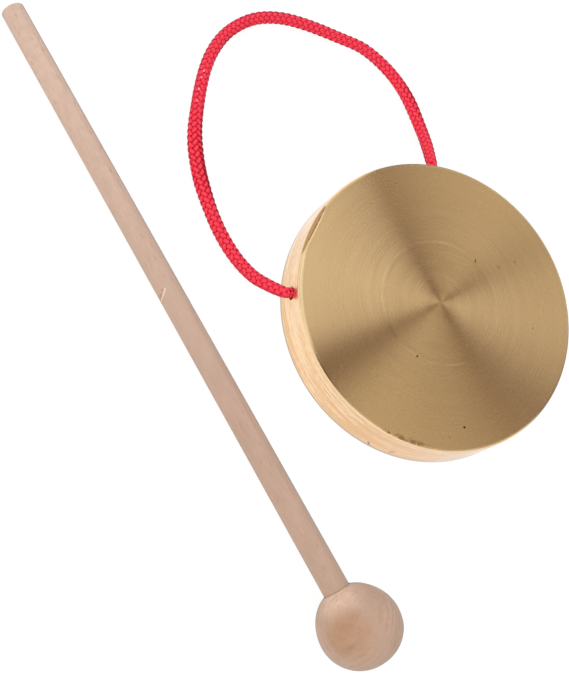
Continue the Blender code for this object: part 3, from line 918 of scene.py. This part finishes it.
def braid(strands):
    """Geometry nodes that braid strands round a line: each passes over two others and then under two.
    The line's points carry which way is sideways, how far the braid has turned, and its half sizes."""
    takes = {"Line": None, "Strands Each Way": 8, "Lead": 0.01736, "Shift": 0.0, "Rise": STRAND_RISE}
    takes |= {"Strand Width": STRAND_WIDTH, "Strand Thickness": STRAND_THICKNESS, "Core Share": 0.62}
    given, out = group("braid", takes, {"Braid": "Geometry"}, "GeometryNodeTree")
    tree = out.id_data
    each_way, rise, thickness = given["Strands Each Way"], given["Rise"], given["Strand Thickness"]

    def named(name, sort="FLOAT"):
        return put(tree, "GeometryNodeInputNamedAttribute", {"Name": name}, data_type=sort)["Attribute"]

    def kept(geometry, name, value, sort="FLOAT"):
        sockets = {"Geometry": geometry, "Name": name, "Value": value}
        return put(tree, "GeometryNodeStoreNamedAttribute", sockets, data_type=sort, domain="POINT")[0]

    def ring(resolution, radius):
        return put(tree, "GeometryNodeCurvePrimitiveCircle", {"Resolution": resolution, "Radius": radius})[0]

    def swept(curve, profile, scale=1.0):
        sockets = {"Curve": curve, "Profile Curve": profile, "Scale": scale, "Fill Caps": True}
        return put(tree, "GeometryNodeCurveToMesh", sockets)[0]

    line = put(tree, "GeometryNodeMeshToCurve", {"Mesh": given["Line"]})[0]
    copies = put(tree, "GeometryNodeDuplicateElements", {"Geometry": line, "Amount": each_way * 2.0}, domain="SPLINE")
    index = copies["Duplicate Index"]
    way = calc("LESS_THAN", index, each_way) * 2.0 - 1.0
    step = 2 * pi / each_way
    begin = index * step + (1.0 - way) * (step * 0.25)
    along = put(tree, "GeometryNodeSplineParameter")["Length"]
    angle = begin + (along - given["Shift"]) / given["Lead"] * (2 * pi) * way
    beat = calc("SINE", angle * (each_way * 0.5)) * way
    lift = calc("TANH", beat * 1.2) / 0.8337
    side = named("side", "FLOAT_VECTOR")
    up = calc("CROSS_PRODUCT", side, put(tree, "GeometryNodeInputTangent")[0])
    placed = angle + named("turn")

    def reach(name):
        return named(name) - (thickness * 0.5 + rise) + lift * rise

    offset = side * (calc("COSINE", placed) * reach("wide")) + up * (calc("SINE", placed) * reach("tall"))
    paths = kept(copies["Geometry"], "out", calc("NORMALIZE", offset), "FLOAT_VECTOR")
    for name, value in (("lift", fade(lift, -1.0, 1.0)), ("strand", index), ("along", along)):
        paths = kept(paths, name, value)
    paths = put(tree, "GeometryNodeSetPosition", {"Geometry": paths, "Offset": offset})[0]
    sockets = {"Curve": paths, "Normal": named("out", "FLOAT_VECTOR")}
    paths = put(tree, "GeometryNodeSetCurveNormal", sockets, mode="FREE")[0]
    flank = kept(ring(7, 0.5), "around", put(tree, "GeometryNodeSplineParameter")["Factor"])
    flank = kept(flank, "crest", parted(put(tree, "GeometryNodeInputPosition")[0])[0] * 2.0)
    sockets = {"Geometry": flank, "Scale": joined(thickness, given["Strand Width"], 1.0)}
    flank = put(tree, "GeometryNodeTransform", sockets)[0]
    sockets = {"Curve": kept(line, "lift", 0.0), "Radius": named("tall") * given["Core Share"]}
    core = put(tree, "GeometryNodeSetCurveRadius", sockets)[0]
    both = put(tree, "GeometryNodeJoinGeometry")
    for part in (swept(paths, flank), swept(core, ring(10, 1.0), put(tree, "GeometryNodeInputRadius")[0])):
        fill_in(both.node, {0: part})
    smooth = put(tree, "GeometryNodeSetShadeSmooth", {"Geometry": both[0]})[0]
    real = put(tree, "GeometryNodeRealizeInstances", {"Geometry": smooth})[0]
    fill_in(out, {"Braid": put(tree, "GeometryNodeSetMaterial", {"Geometry": real, "Material": strands})[0]})
    return tree


def braided(name, points, layers, tree, inputs):
    """A braid along points, made by geometry nodes and turned into a plain mesh."""
    mesh = bpy.data.meshes.new(name)
    mesh.from_pydata([tuple(point) for point in points], [(i, i + 1) for i in range(len(points) - 1)], [])
    for label, values in zip(("side", "turn", "wide", "tall"), layers):
        sort, field = ("FLOAT_VECTOR", "vector") if label == "side" else ("FLOAT", "value")
        layer = mesh.attributes.new(label, sort, "POINT")
        layer.data.foreach_set(field, np.asarray(values, np.float32).ravel())
    made = new_object(name, mesh)
    nodes = made.modifiers.new("Braid", "NODES")
    nodes.node_group = tree
    for item in tree.interface.items_tree:
        if item.in_out == "INPUT" and item.name in inputs:
            nodes[item.identifier] = inputs[item.name]
    return finished(made)


# The add-on: what a user would change


def colour(name, description, default):
    """A colour that the user can change."""
    return FloatVectorProperty(name=name, description=description, subtype="COLOR", default=default)


def amount(name, description, default, low=0.0, high=100.0, unit="NONE"):
    """A number that the user can change."""
    return FloatProperty(name=name, description=description, default=default, min=low, max=high, unit=unit)


class HandGongBrass(PropertyGroup):
    """Colours of the brass pan and how finely it is turned."""

    brass: colour("Brass", "Colour of the brushed face", (0.765, 0.567, 0.286))
    brass_deep: colour("Deep brass", "Colour in the marks of the face", (0.68, 0.497, 0.243))
    polish: colour("Polish", "Colour of the polished rim", (1.0, 0.718, 0.45))
    polish_warm: colour("Warm polish", "Colour of the rim's streaks", (0.85, 0.515, 0.25))
    # Also paints the shade on the dark side of the worn flat.
    tarnish_and_shade: colour("Tarnish", "Colour of tarnished brass", (0.37, 0.20, 0.08))
    # Partly painted: the worn flat's colour also stands for the dark reflection it shows.
    dull_and_shaded_stretch: colour("Dull stretch", "Colour of the rim's dull stretch", (0.55, 0.36, 0.145))
    pit: colour("Pit", "Colour in the pits of the face", (0.05, 0.03, 0.012))
    # Painted shade at the face's far outline and the rim's far top.
    edge: colour("Far edge", "Colour at the outline of the face", (0.30, 0.20, 0.14))
    # Painted reflection on the rounded corner.
    corner: colour("Corner", "Colour over the rounded corner", (0.97, 0.765, 0.46))
    # Painted highlight: the bright line by the worn flat and the band by the face's edge.
    glint: colour("Glint", "Colour of the bright line by the worn flat", (1.0, 0.84, 0.50))
    # Painted shade along the mouth's edge.
    foot: colour("Foot", "Colour of the mouth's edge", (0.42, 0.37, 0.33))
    turns: IntProperty(name="Turns", description="Steps round the pan", default=360, min=48, max=720)


class HandGongCord(PropertyGroup):
    """Sizes and colours of the braided cord."""

    diameter: amount("Diameter", "Thickness of the loop", 0.0045, 0.002, 0.01, "LENGTH")
    lead: amount("Lead", "Length in which a strand goes once round", 0.01736, 0.004, 1.0, "LENGTH")
    strands: IntProperty(name="Strands", description="Strands that wind each way", default=8, min=4, max=16)
    # Painted highlight: the colour on the strands' crowns, which also tints the pale thread ends.
    red: colour("Red", "Colour of the cord", (1.0, 0.066, 0.120))
    red_deep: colour("Deep red", "Colour on the strands' flanks", (1.0, 0.007, 0.030))
    red_shadow: colour("Shadow red", "Colour where strands dive under", (0.54, 0.001, 0.008))
    pale: colour("Pale thread", "Colour of the pale thread ends", (1.0, 0.84, 0.86))
    # Painted shade at the cord's outline.
    red_edge: colour("Edge red", "Colour at the cord's outline", (0.20, 0.006, 0.024))


class HandGongWood(PropertyGroup):
    """Colours of the beater's bare wood."""

    early: colour("Early wood", "Pale colour of the dowel", (0.555, 0.388, 0.292))
    late: colour("Late wood", "Darker colour of the dowel", (0.495, 0.335, 0.247))
    dowel_pale: colour("Dowel pale", "Colour of the dowel's far end", (0.745, 0.538, 0.43))
    dowel_tan: colour("Dowel tan", "Colour of the dowel by the ball", (0.49, 0.332, 0.243))
    ball_early: colour("Ball", "Pale colour of the ball", (0.52, 0.355, 0.253))
    ball_late: colour("Ball, darker", "Darker colour of the ball", (0.41, 0.272, 0.190))
    ball_tan: colour("Ball tan", "Colour in the middle of the ball's rings", (0.45, 0.248, 0.137))
    # Painted light: the colour of the ball's paler side.
    ball_painted_light: colour("Ball pale", "Colour of the ball's palest side", (0.85, 0.605, 0.46))
    pink: colour("Pink", "Colour of the pinkish patches", (0.63, 0.405, 0.325))
    fleck: colour("Fleck", "Colour of the short dark flecks", (0.42, 0.25, 0.17))
    nick: colour("Nick", "Colour of the fresh nick", (0.92, 0.74, 0.62))
    # Painted shade at the wood's outline.
    edge: colour("Edge", "Colour at the outline", (0.36, 0.31, 0.27))


class HandGongStage(PropertyGroup):
    """The camera's lens and the strength of the light."""

    lens: amount("Lens", "Focal length for a 36 mm sensor", 56.17, 10.0, 300.0, "CAMERA")
    around: amount("Surroundings", "Brightness of the room", 0.30)
    dim: amount("Dim parts", "Brightness of the room in reflections", 0.09)
    level: amount("Lamps", "Brightness of all lamps", 1.0)


def blank(owner):
    """The emptied node tree of a new material or world."""
    owner.use_nodes = True
    owner.node_tree.nodes.clear()
    return owner.node_tree


def looks(tree):
    """Whether the camera looks, and whether a reflection does."""
    path = put(tree, "ShaderNodeLightPath")
    return path["Is Camera Ray"], calc("MAXIMUM", path["Is Glossy Ray"], path["Is Transmission Ray"])


def either(tree, share, first, second):
    """One shader or the other."""
    return put(tree, "ShaderNodeMixShader", {0: share, 1: first, 2: second})[0]


def floor_material():
    """White to the camera and in reflections, with a trace of the shadow that falls on it."""
    made = bpy.data.materials.new("white_floor")
    tree = blank(made)
    camera, mirror = looks(tree)
    plain = put(tree, "ShaderNodeBsdfDiffuse", {"Color": (0.92, 0.92, 0.92, 1.0)})[0]
    pale = put(tree, "ShaderNodeBsdfDiffuse", {"Color": (0.14, 0.14, 0.14, 1.0)})[0]
    glow = put(tree, "ShaderNodeEmission", {"Color": WHITE, "Strength": 0.91})[0]
    white = put(tree, "ShaderNodeEmission", {"Color": WHITE, "Strength": 1.0})[0]
    seen = put(tree, "ShaderNodeAddShader", {0: pale, 1: glow})[0]
    surface = either(tree, camera, either(tree, mirror, plain, white), seen)
    put(tree, "ShaderNodeOutputMaterial", {"Surface": surface})
    return made


def room(strength, dim):
    """The world: white to the camera and at its horizon, dim and warm in reflections above, else an even grey."""
    world = bpy.data.worlds.new("room")
    bpy.context.scene.world = world
    tree = blank(world)
    camera, mirror = looks(tree)
    _, across, height = parted(put(tree, "ShaderNodeTexCoord")["Generated"])
    white = calc("MAXIMUM", camera, mirror * fade(height, 0.5, 0.2))
    slant = calc("MULTIPLY_ADD", across, strength, strength)
    grey = put(tree, "ShaderNodeBackground", {"Color": (1.0, 0.98, 0.96, 1.0), "Strength": slant})[0]
    dusk = put(tree, "ShaderNodeBackground", {"Color": (1.0, 0.13, 0.03, 1.0), "Strength": dim})[0]
    plain = put(tree, "ShaderNodeBackground", {"Color": WHITE, "Strength": 1.0})[0]
    surface = either(tree, white, either(tree, mirror, grey, dusk), plain)
    put(tree, "ShaderNodeOutputWorld", {"Surface": surface})


class HANDGONG_OT_stage(Operator):
    """Makes the camera, the lamps, the room and the white table"""

    bl_idname = "scene.hand_gong_stage"
    bl_label = "Stage"

    def execute(self, context):
        settings = context.scene.hand_gong_stage
        data = bpy.data.cameras.new("camera")
        data.sensor_width = 36.0
        data.lens = settings.lens
        data.clip_start = 0.01
        camera = new_object("camera", data)
        right, up = Vector(CAMERA_RIGHT), Vector(CAMERA_UP)
        turn = Matrix((right, up, right.cross(up))).transposed().to_4x4()
        camera.matrix_world = Matrix.Translation(CAMERA_PLACE) @ turn
        context.scene.camera = camera
        for name, (x, y), width, height, turn, brightness, tint in LAMPS:
            light = bpy.data.lights.new(name, "AREA")
            light.shape = "RECTANGLE"
            light.size = width
            light.size_y = height
            light.energy = brightness * settings.level * width * height * pi
            light.color = tint
            lamp = new_object(name, light)
            away = Vector((x, y, sqrt(max(0.0, 1 - x * x - y * y)))).normalized()
            side = Vector((0.0, 0.0, 1.0)).cross(away).normalized()
            axes = Matrix((side, away.cross(side), away)).transposed() @ Matrix.Rotation(turn, 3, "Z")
            lamp.matrix_world = Matrix.Translation(LAMP_AIM + away * LAMP_DISTANCE) @ axes.to_4x4()
        room(settings.around, settings.dim)
        work = bmesh.new()
        bmesh.ops.create_grid(work, x_segments=2, y_segments=2, size=FLOOR_HALF)
        bmesh.ops.translate(work, verts=work.verts, vec=(0.0, 0.0, TABLE - FLOOR_GAP))
        mesh = as_mesh("table", work, False)
        mesh.materials.append(floor_material())
        new_object("table", mesh)
        context.scene.view_settings.view_transform = "Standard"
        return {"FINISHED"}


def sealed_end(name, points):
    """The melted blob on the cord's cut end."""
    work = bmesh.new()
    bmesh.ops.create_icosphere(work, subdivisions=4, radius=1.0)
    heading = Vector(points[-1] - points[-3]).normalized()
    size = Matrix.Diagonal((NECK_DIAMETER * 0.49, NECK_DIAMETER * 0.49, NECK_DIAMETER * 0.2, 1.0))
    turn = heading.to_track_quat("Z", "Y").to_matrix().to_4x4()
    bmesh.ops.transform(work, matrix=Matrix.Translation(Vector(points[-1])) @ turn @ size, verts=work.verts)
    return as_mesh(name, work)


def specks(points, stops, sides, wide, tall):
    """The tiny pale thread ends that show in the loop."""
    heads = np.gradient(points, axis=0)
    work = bmesh.new()
    for reach, angle in PALE_SPECKS:
        spot = int(np.argmin(np.abs(stops - reach)))
        side = Vector(sides[spot])
        up = side.cross(Vector(heads[spot]).normalized())
        around = radians(angle)
        place = Vector(points[spot]) + side * (cos(around) * wide[spot]) + up * (sin(around) * tall[spot])
        bmesh.ops.create_icosphere(work, subdivisions=2, radius=SPECK_RADIUS, matrix=Matrix.Translation(place))
    return as_mesh("specks", work)


class HANDGONG_OT_cord(Operator):
    """Makes the braided cord: the loop, and the knotted ends inside the rim"""

    bl_idname = "object.hand_gong_cord"
    bl_label = "Carrying cord"

    def execute(self, context):
        settings = context.scene.hand_gong_cord
        tree = braid(braided_red(settings))
        inputs = {
            "Strands Each Way": settings.strands,
            "Lead": settings.lead,
            "Shift": BRAID_SHIFT,
            "Rise": STRAND_RISE,
            "Strand Width": STRAND_WIDTH,
            "Strand Thickness": STRAND_THICKNESS,
        }
        tight = dict(inputs)
        for key in ("Lead", "Rise", "Strand Width", "Strand Thickness"):
            tight[key] = inputs[key] * (NECK_DIAMETER / settings.diameter)
        melted = sealed_red(settings)
        for side, name in ((-1, "cord_end_left"), (1, "cord_end_right")):
            points, stops = evenly(knot_curve(side), BRAID_SPACING)
            half = np.full(len(points), NECK_DIAMETER / 2)
            end = braided(name, points, (sides_along(points, False), 0.0 * stops, half, half), tree, tight)
            seal = sealed_end(name + "_seal", points)
            seal.materials.append(melted)
            end = with_mesh(end, seal)
            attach(end, "gong")
            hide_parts(name.replace("cord_end", "cord_knot"))
        curve = loop_curve(settings.diameter)
        points, stops = evenly(curve, BRAID_SPACING)
        reach, width = zip(*LOOP_WIDTH)
        wide = np.interp(stops, reach, width) / 2
        tall = np.minimum(wide, (settings.diameter / 2) ** 2 / wide)
        turn = np.radians(np.interp(stops, *zip(*LOOP_TURN)))
        sides = sides_along(points, True)
        loop = braided("cord_loop", points, (sides, turn, wide, tall), tree, inputs)
        pale = specks(points, stops, sides, wide, tall)
        pale.materials.append(pale_thread(settings))
        loop = with_mesh(loop, pale)
        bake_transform(loop)
        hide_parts("hanging_cord")
        return {"FINISHED"}


FACE_METAL, RIM_METAL, INSIDE_METAL = range(3)


class HANDGONG_OT_pan(Operator):
    """Makes the pressed brass pan with its two cord holes"""

    bl_idname = "object.hand_gong_pan"
    bl_label = "Brass pan"

    def execute(self, context):
        settings = context.scene.hand_gong_brass
        corners = [
            (0.0, GONG_DEPTH, 0.0),
            (FLAT_RADIUS, GONG_DEPTH, FLAT_FILLET),
            (FACE_RADIUS, CORNER_HEIGHT, CORNER_RADIUS),
            (MOUTH_RADIUS, 0.0, EDGE_RADIUS),
            (MOUTH_RADIUS - SHEET, 0.0, EDGE_RADIUS),
            (FACE_RADIUS - SHEET, CORNER_HEIGHT - SHEET, INNER_CORNER_RADIUS),
            (FLAT_RADIUS, GONG_DEPTH - SHEET, FLAT_FILLET),
            (0.0, GONG_DEPTH - SHEET, 0.0),
        ]
        profile = [(max(0.0, point.x), point.y + TABLE) for point in rounded(corners, 12)]
        pan = new_object("brass_pan", turned("brass_pan", profile, settings.turns))
        drills = []
        for side in (-1, 1):
            work = bmesh.new()
            sizes = {"segments": 64, "radius1": HOLE_RADIUS, "radius2": HOLE_RADIUS, "depth": DRILL_LENGTH}
            bmesh.ops.create_cone(work, cap_ends=True, **sizes)
            turn = outward(side * HOLE_ANGLE).to_track_quat("Z", "Y").to_matrix().to_4x4()
            bmesh.ops.transform(work, matrix=Matrix.Translation(hole_middle(side)) @ turn, verts=work.verts)
            drills.append(new_object("drill", as_mesh("drill", work, False)))
            cut = pan.modifiers.new("Cord hole", "BOOLEAN")
            cut.operation = "DIFFERENCE"
            cut.object = drills[-1]
        pan = finished(pan)
        for drill in drills:
            bpy.data.objects.remove(drill, do_unlink=True)
        pan.data.materials.clear()
        for made in (brushed_brass(settings), polished_brass(settings), raw_brass(settings)):
            pan.data.materials.append(made)
        for face in pan.data.polygons:
            radius = sqrt(face.center.x**2 + face.center.y**2)
            height = face.center.z
            inside = radius < wall_radius(height - TABLE) - 0.6 * SHEET and height < -0.7 * SHEET - CROWN_DROP
            on_face = height > FACE_TOP - 0.10 * CORNER_RADIUS
            face.material_index = INSIDE_METAL if inside else (FACE_METAL if on_face else RIM_METAL)
        pan.data.set_sharp_from_angle(angle=SHARP_EDGE)
        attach(pan, "gong")
        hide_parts("gong_shell")
        return {"FINISHED"}


def beater_frame():
    """The beater's own axes: its origin at the ball's middle and Z along the handle."""
    reach = HANDLE_LENGTH - (SOCKET_DEPTH - BALL_RADIUS)
    corner = Vector((reach, HANDLE_FAR_RADIUS))
    slope = asin(BALL_RADIUS / corner.length) - atan2(corner.y, corner.x)
    along = outward(BEATER_TURN) * cos(slope) - Vector((0.0, 0.0, sin(slope)))
    place = Matrix.Translation((*BEATER_PLACE, TABLE + BALL_RADIUS))
    return place @ along.to_track_quat("Z", "Y").to_matrix().to_4x4()


def grain_axes(across, along):
    """Three square directions from one across the rings and one nearly along the fibres."""
    across = Vector(across).normalized()
    along = Vector(along)
    along = (along - across * along.dot(across)).normalized()
    return across, along.cross(across), along


def off_centre(mesh, middle, along, mouth):
    """Moves the ball's skin a little off the dowel's axis, as it is bored, leaving the socket and its mouth on it."""
    across = along.cross(Vector((0.0, 0.0, 1.0)))
    for vertex in mesh.vertices:
        reach = vertex.co - middle
        if reach.length < BALL_RADIUS - BALL_SKIN:
            continue
        angle = reach.angle(along)
        share = min(1.0, max(0.0, (angle - mouth - 0.03) / BALL_EASING))
        share = share * share * (3 - 2 * share)
        right = reach.dot(across) / BALL_RADIUS
        swell = float(np.interp(degrees(angle), *zip(*BALL_SWELL))) * max(0.0, right) / max(0.2, sin(angle))
        outer = across * right + along * cos(angle)
        move = across * (BALL_OFF_CENTRE * share + BALL_BROADER * right * share)
        vertex.co += move + along * (BALL_FORWARD - BALL_FLATTER * share) + outer * swell


class HANDGONG_OT_ball(Operator):
    """Makes the beater's turned ball with its drilled socket"""

    bl_idname = "object.hand_gong_ball"
    bl_label = "Beater ball"

    def execute(self, context):
        wood = context.scene.hand_gong_wood
        rim = SOCKET_RADIUS + SOCKET_MOUTH_CHAMFER
        mouth = sqrt(BALL_RADIUS**2 - rim**2)
        floor = BALL_RADIUS - SOCKET_DEPTH
        profile = [
            (0.0, floor - SOCKET_RADIUS / tan(DRILL_POINT)),
            (SOCKET_RADIUS, floor),
            (SOCKET_RADIUS, mouth - SOCKET_MOUTH_CHAMFER),
        ]
        start = atan2(rim, mouth)
        rows = 90
        for step in range(rows + 1):
            angle = start + (pi - start) * step / rows
            profile.append((BALL_RADIUS * sin(angle) if step < rows else 0.0, BALL_RADIUS * cos(angle)))
        mesh = turned("beater_ball", profile, 160)
        frame_of_beater = beater_frame()
        middle = frame_of_beater.translation
        mesh.transform(frame_of_beater)
        off_centre(mesh, middle, outward(BEATER_TURN), start)
        ball = new_object("beater_ball", mesh)
        mesh.set_sharp_from_angle(angle=SHARP_EDGE)
        right, up = Vector(CAMERA_RIGHT), Vector(CAMERA_UP)
        facing = (Vector(CAMERA_PLACE) - middle).normalized() - right * 0.30 + up * 0.09
        axes = grain_axes(facing, up + right * 0.15)
        patches = (
            ((0.0120, 0.0012, -0.0024), 0.0035, 0.0105, 1.0, wood.ball_tan),
            # Painted light: one side of the ball is paler.
            ((0.0095, -0.0052, 0.0068), 0.0020, 0.0095, 0.8, wood.ball_painted_light),
        )
        grain = {"Ring": 0.0019, "Bow": -5.0, "Dish": 22.0}
        tones, outline = (wood.ball_early, wood.ball_late), (0.66, 0.88, 0.5, 0.5)
        mesh.materials.append(bare_wood("ball_wood", wood, tones, outline, axes, middle, grain, patches, 0.9))
        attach(ball, "beater")
        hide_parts("beater_head")
        return {"FINISHED"}


class HANDGONG_OT_dowel(Operator):
    """Makes the beater's straight, slightly tapering dowel"""

    bl_idname = "object.hand_gong_dowel"
    bl_label = "Beater dowel"

    def execute(self, context):
        wood = context.scene.hand_gong_wood
        start = BALL_RADIUS - SOCKET_DEPTH + SOCKET_CLEARANCE
        end = start + HANDLE_LENGTH - SOCKET_CLEARANCE
        corners = [
            (0.0, start, 0.0),
            (HANDLE_RADIUS, start, HANDLE_EDGE),
            (HANDLE_FAR_RADIUS, end, HANDLE_EDGE),
            (0.0, end, 0.0),
        ]
        profile = [(max(0.0, point.x), point.y) for point in rounded(corners, 6)]
        mesh = turned("beater_dowel", profile, 96)
        frame_of_beater = beater_frame()
        mesh.transform(frame_of_beater)
        dowel = new_object("beater_dowel", mesh)
        turn = frame_of_beater.to_3x3()
        axes = grain_axes(turn @ Vector((0.6, 0.8, 0.0)), turn @ Vector((0.0, 0.0, 1.0)))
        patches = (
            ((0.0, 0.0, 0.235), 0.03, 0.17, 0.85, wood.dowel_pale),
            ((0.0, 0.0, 0.0), 0.02, 0.11, 0.6, wood.dowel_tan),
        )
        grain = {"Ring": 0.0024, "Bow": 6.0, "Dish": 0.0}
        nicks = [(*spot, wood.fleck) for spot in NICK_SPOTS]
        nicks += [(*ends, NICK_WIDTH, NICK_SHARE, wood.nick) for ends in zip(NICK_PATH, NICK_PATH[1:])]
        tones, outline = (wood.early, wood.late), (0.50, 0.78, 0.1, 0.9)
        place = frame_of_beater.translation
        mesh.materials.append(bare_wood("dowel_wood", wood, tones, outline, axes, place, grain, patches, 0.6, nicks))
        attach(dowel, "beater")
        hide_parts("beater_handle")
        return {"FINISHED"}


OPERATORS = (HANDGONG_OT_stage, HANDGONG_OT_cord, HANDGONG_OT_pan, HANDGONG_OT_ball, HANDGONG_OT_dowel)
SETTINGS = (
    ("hand_gong_brass", HandGongBrass),
    ("hand_gong_cord", HandGongCord),
    ("hand_gong_wood", HandGongWood),
    ("hand_gong_stage", HandGongStage),
)


class VIEW3D_PT_hand_gong(Panel):
    """Lists what can be made, with its sizes and colours"""

    bl_label = "Hand gong"
    bl_space_type = "VIEW_3D"
    bl_region_type = "UI"
    bl_category = "Hand gong"

    def draw(self, context):
        layout = self.layout
        for operator in OPERATORS:
            layout.operator(operator.bl_idname)
        for name, kind in SETTINGS:
            box = layout.box()
            box.label(text=kind.__doc__)
            for label in kind.__annotations__:
                box.prop(getattr(context.scene, name), label)


def register():
    for name, kind in SETTINGS:
        bpy.utils.register_class(kind)
        setattr(bpy.types.Scene, name, PointerProperty(type=kind))
    for kind in (*OPERATORS, VIEW3D_PT_hand_gong):
        bpy.utils.register_class(kind)


def unregister():
    for kind in (VIEW3D_PT_hand_gong, *reversed(OPERATORS)):
        bpy.utils.unregister_class(kind)
    for name, kind in reversed(SETTINGS):
        delattr(bpy.types.Scene, name)
        bpy.utils.unregister_class(kind)


def main():
    register()
    bpy.ops.scene.hand_gong_stage()
    bpy.ops.object.hand_gong_cord()
    bpy.ops.object.hand_gong_pan()
    bpy.ops.object.hand_gong_ball()
    bpy.ops.object.hand_gong_dowel()


if __name__ == "__main__":
    main()
